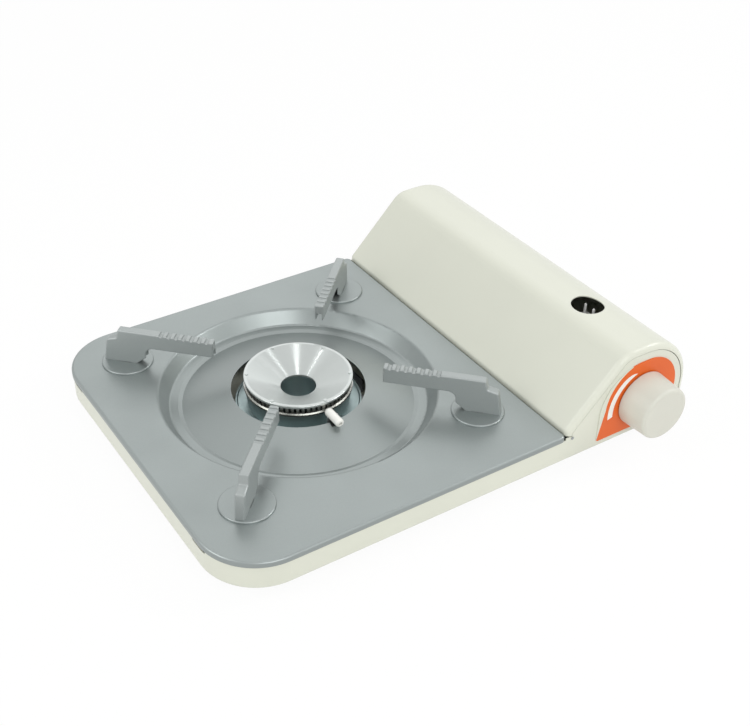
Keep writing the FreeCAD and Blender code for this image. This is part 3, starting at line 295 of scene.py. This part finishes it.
ink = orange.node_tree
shader = ink.nodes["Principled BSDF"]
ink_color = shader.inputs["Base Color"].links[0].from_socket
place = add(ink, "ShaderNodeTexCoord").outputs["Object"]
away = add(ink, "ShaderNodeVectorMath", {"operation": "SUBTRACT"}, _0=place, _1=disc_middle)
flat = add(ink, "ShaderNodeVectorMath", {"operation": "MULTIPLY"}, _0=away, _1=(1, 0, 1))
far = add(ink, "ShaderNodeVectorMath", {"operation": "LENGTH"}, _0=flat).outputs["Value"]
in_disc = add(ink, "ShaderNodeMath", {"operation": "LESS_THAN"}, _0=far, _1=disc_radius)
part = add(ink, "ShaderNodeSeparateXYZ", Vector=away).outputs
low = add(ink, "ShaderNodeMath", {"operation": "LESS_THAN"}, _0=part["Z"], _1=field_top)
edge = add(ink, "ShaderNodeMath", {"operation": "MULTIPLY_ADD"}, _0=part["Z"], _1=field_lean,
           _2=field_left)
right_of_edge = add(ink, "ShaderNodeMath", {"operation": "GREATER_THAN"}, _0=part["X"], _1=edge)
in_field = add(ink, "ShaderNodeMath", {"operation": "MULTIPLY"}, _0=low, _1=right_of_edge)
printed = add(ink, "ShaderNodeMath", {"operation": "MAXIMUM"}, _0=in_disc, _1=in_field)
colors = add(ink, "ShaderNodeMix", {"data_type": "RGBA"}, _0=printed, _6=linear(case_white),
             _7=ink_color)
wire(ink, shader, Base_Color=colors.outputs[2])
print("print outline round", round(axis_x * 1000, 1), round(axis_z * 1000, 1))

# %% [markdown]
# ## Each piece gets its finish
#
# One list says which finish goes on which piece, so a piece that was forgotten is easy to
# find: the last line prints what is left over. A piece's old slots are emptied first, since
# the engineering model's plain colours would stay in front of the new finish.

# %% Assign the finishes

finishes = {
    warm_white: ["base_pan", "lid"],
    tray_coat: ["drip_tray"],
    support_coat: ["pot_support_front_left", "pot_support_front_right",
                   "pot_support_rear_left", "pot_support_rear_right"],
    spun_steel: ["burner_cap"],
    turned_steel: ["burner_ring", "electrode_wire", "lid_hinge_pins"],
    cast_metal: ["burner_bowl"],
    zinc_plate: ["burner_strap", "electrode_bracket", "mixing_tube", "air_shutter",
                 "governor_screws", "cartridge_cradle", "partition", "lid_studs"],
    die_cast: ["governor_body", "governor_cover", "valve_block"],
    brass: ["jet", "gas_pipe", "gas_inlet", "knob_shaft"],
    ferrite: ["holding_magnet"],
    ivory: ["knob"],
    nylon: ["cartridge_guide", "igniter_cam"],
    black_plastic: ["piezo_igniter", "igniter_plunger"],
    rubber: ["rubber_feet"],
    ceramic: ["electrode_ceramic"],
    orange: ["knob_plate"]}
for finish, names in finishes.items():
    for name in names:
        slots = nodes[name].data.materials
        slots.clear()
        slots.append(finish)
left = set(nodes) - {name for names in finishes.values() for name in names}
print("pieces without a finish:", sorted(left) or "none")

# %% [markdown]
# ## The flame mark
#
# A white crescent is printed round the knob on the orange. It is wide where the flame is
# large and thins to a point. It could be drawn in the material too, but its two edges are
# no plain circles, so it is a strip of mesh as thin as ink. The strip is built from the
# knob's axis: at each angle it has one point on the inner edge and one on the outer. The
# inner edge comes in and then goes out again a little, and the width falls off at the tip.

# %% The printed crescent

blunt_angle = 196
tip_angle = 108
inner_radius = 0.027
inner_drop = 0.0066
inner_return = 0.0041
crescent_width = 0.0044
crescent_thinnest = 0.0001
tip_sharpness = 8
ink_film = 0.00005


def crescent(steps=48):
    """The printed mark, from its blunt end to its tip, on the plate's face."""
    face_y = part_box("knob_plate")[0].y - ink_film
    points = []
    for step in range(steps + 1):
        share = step / steps
        angle = math.radians(blunt_angle + (tip_angle - blunt_angle) * share)
        inner = inner_radius - inner_drop * share + inner_return * share ** 2
        width = max(crescent_width * (1 - share ** tip_sharpness), crescent_thinnest)
        for radius in (inner, inner + width):
            x = axis_x + radius * math.cos(angle)
            z = axis_z + radius * math.sin(angle)
            points.append((x, face_y, z))
    faces = [(corner, corner + 1, corner + 3, corner + 2) for corner in range(0, steps * 2, 2)]
    mesh = bpy.data.meshes.new("flame_mark")
    mesh.from_pydata(points, [], faces)
    made = bpy.data.objects.new("flame_mark", mesh)
    bpy.context.scene.collection.objects.link(made)
    thick = made.modifiers.new("film", "SOLIDIFY")
    thick.thickness = ink_film
    thick.offset = 0
    return made


mark = crescent()
mark.data.materials.append(white_print)
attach(mark, "case")
print("crescent", [round(v * 1000, 1) for v in mark.dimensions], "mm")

# %% [markdown]
# ## The floor and the backdrop
#
# The photograph has a white ground with only the faintest shadow. Strong lamps would make
# the floor white, and would burn out the case as well. So the floor is pale paper in plain
# light, and most of what the camera or a glossy piece sees of it is a glow of strength one,
# which is white. The rest stays paper, which keeps the shadow. The world does the same: it
# lights the stove softly, and is white where it is seen or mirrored.

# %% Lay the floor and set the backdrop

floor_reach = 4
glow_share = 0.94
ambient = 0.6

floor_mesh = bpy.data.meshes.new("floor")
corners = [(x * floor_reach, y * floor_reach, 0) for x, y in ((-1, -1), (1, -1), (1, 1), (-1, 1))]
floor_mesh.from_pydata(corners, [], [(0, 1, 2, 3)])
floor = bpy.data.objects.new("floor", floor_mesh)
bpy.context.scene.collection.objects.link(floor)


def seen_or_mirrored(tree):
    """One for a ray from the camera or from a glossy piece, and nought for the rest."""
    rays = add(tree, "ShaderNodeLightPath").outputs
    return add(tree, "ShaderNodeMath", {"operation": "MAXIMUM"}, _0=rays["Is Camera Ray"],
               _1=rays["Is Glossy Ray"])


paper = surface("white paper sweep", "F7F7F5", 0.9, skin=(0.02, 0.3, (3.0, 3.0)), ior=1.45)
tree = paper.node_tree
share = add(tree, "ShaderNodeMath", {"operation": "MULTIPLY"}, _0=seen_or_mirrored(tree),
            _1=glow_share)
glow = add(tree, "ShaderNodeEmission", Color=(1, 1, 1, 1), Strength=1.0)
blend = add(tree, "ShaderNodeMixShader", _0=share, _1=tree.nodes["Principled BSDF"], _2=glow)
wire(tree, tree.nodes["Material Output"], Surface=blend)
floor_mesh.materials.append(paper)

world = bpy.data.worlds.new("studio")
bpy.context.scene.world = world
world.use_nodes = True
sky = world.node_tree
strength = add(sky, "ShaderNodeMapRange", Value=seen_or_mirrored(sky), From_Min=0.0,
               From_Max=1.0, To_Min=ambient, To_Max=1.0)
wire(sky, sky.nodes["Background"], Color=(1, 1, 1, 1), Strength=strength)
print("floor", floor_reach * 2, "m wide, ambient light", ambient)

# %% [markdown]
# ## The lamps
#
# Four soft boxes stand round the stove. A picture of a studio round the world could light
# it too, but lamps can be moved one by one until the light falls as in the photograph. The
# key, on the right, is the smallest of the four, so its shadow is the crispest. The front
# and left boxes fill the sides that the camera sees, and the rear one is what the flat of
# the tray mirrors.
#
# Three small lamps hang above the burner. The spun steel draws each of them out into a
# streak along one radius of the cap, and where the lamp hangs decides which radius. The
# middle one is larger, so its streak is wider.

# %% Hang the lamps

ground_aim = (0, 0, 0.03)
burner_aim = (-0.05, 0.02, 0.03)
lamps = {
    "key": ((1.25, -0.45, 0.95), ground_aim, (0.55, 0.45), 6),
    "front": ((-0.2, -1.5, 1.1), ground_aim, (1.2, 0.8), 9),
    "rear": ((0.75, 1.15, 1.05), ground_aim, (1.5, 0.9), 2.3),
    "left": ((-1.3, 0.2, 1.1), ground_aim, (0.8, 0.8), 6.8),
    "spot_0": ((0.438, -0.029, 0.95), burner_aim, (0.03, 0.03), 0.16),
    "spot_1": ((-0.015, 0.035, 0.95), burner_aim, (0.09, 0.09), 0.2),
    "spot_2": ((-0.15, 0.42, 0.95), burner_aim, (0.03, 0.03), 0.07)}
for name, (stand, aim, size, watts) in lamps.items():
    box = bpy.data.lights.new(name, "AREA")
    box.shape = "RECTANGLE"
    box.size, box.size_y = size
    box.energy = watts
    lamp = bpy.data.objects.new(name, box)
    lamp.location = stand
    lamp.rotation_euler = (Vector(aim) - Vector(stand)).to_track_quat("-Z", "Y").to_euler()
    bpy.context.scene.collection.objects.link(lamp)
print("lamps:", len(lamps), "with", round(sum(row[3] for row in lamps.values()), 2), "W in all")

# %% [markdown]
# ## The camera
#
# The camera's place, its roll and its lens come from fitting the photograph's straight
# edges and ellipses, so the picture frames the stove as the photograph does. It could be
# aimed with a constraint, but then its small roll would need a second one. Its three axes
# are simple to work out instead: ahead from the eye to the target, right level with the
# floor, and up square to both, with the last two turned by the roll.

# %% Set up the camera

eye = Vector((-0.40845, -0.6002, 0.5668))
target = Vector((0.011698, 0.055183, 0.008))
roll = math.radians(0.68)
ahead = (target - eye).normalized()
right = ahead.cross(Vector((0, 0, 1))).normalized()
up = right.cross(ahead)
tilted_right = right * math.cos(roll) + up * math.sin(roll)
tilted_up = up * math.cos(roll) - right * math.sin(roll)
lens = bpy.data.cameras.new("camera")
lens.sensor_width = 36
lens.lens = 58.94
lens.shift_x = 0.03897
lens.shift_y = -0.00422
lens.clip_start = 0.01
camera = bpy.data.objects.new("camera", lens)
turn = Matrix((tilted_right, tilted_up, -ahead)).transposed()
camera.matrix_world = Matrix.Translation(eye) @ turn.to_4x4()
bpy.context.scene.collection.objects.link(camera)
bpy.context.scene.camera = camera
bpy.context.scene.view_settings.view_transform = "Standard"
print("camera at", [round(v, 3) for v in eye], "lens", round(lens.lens, 1), "mm")
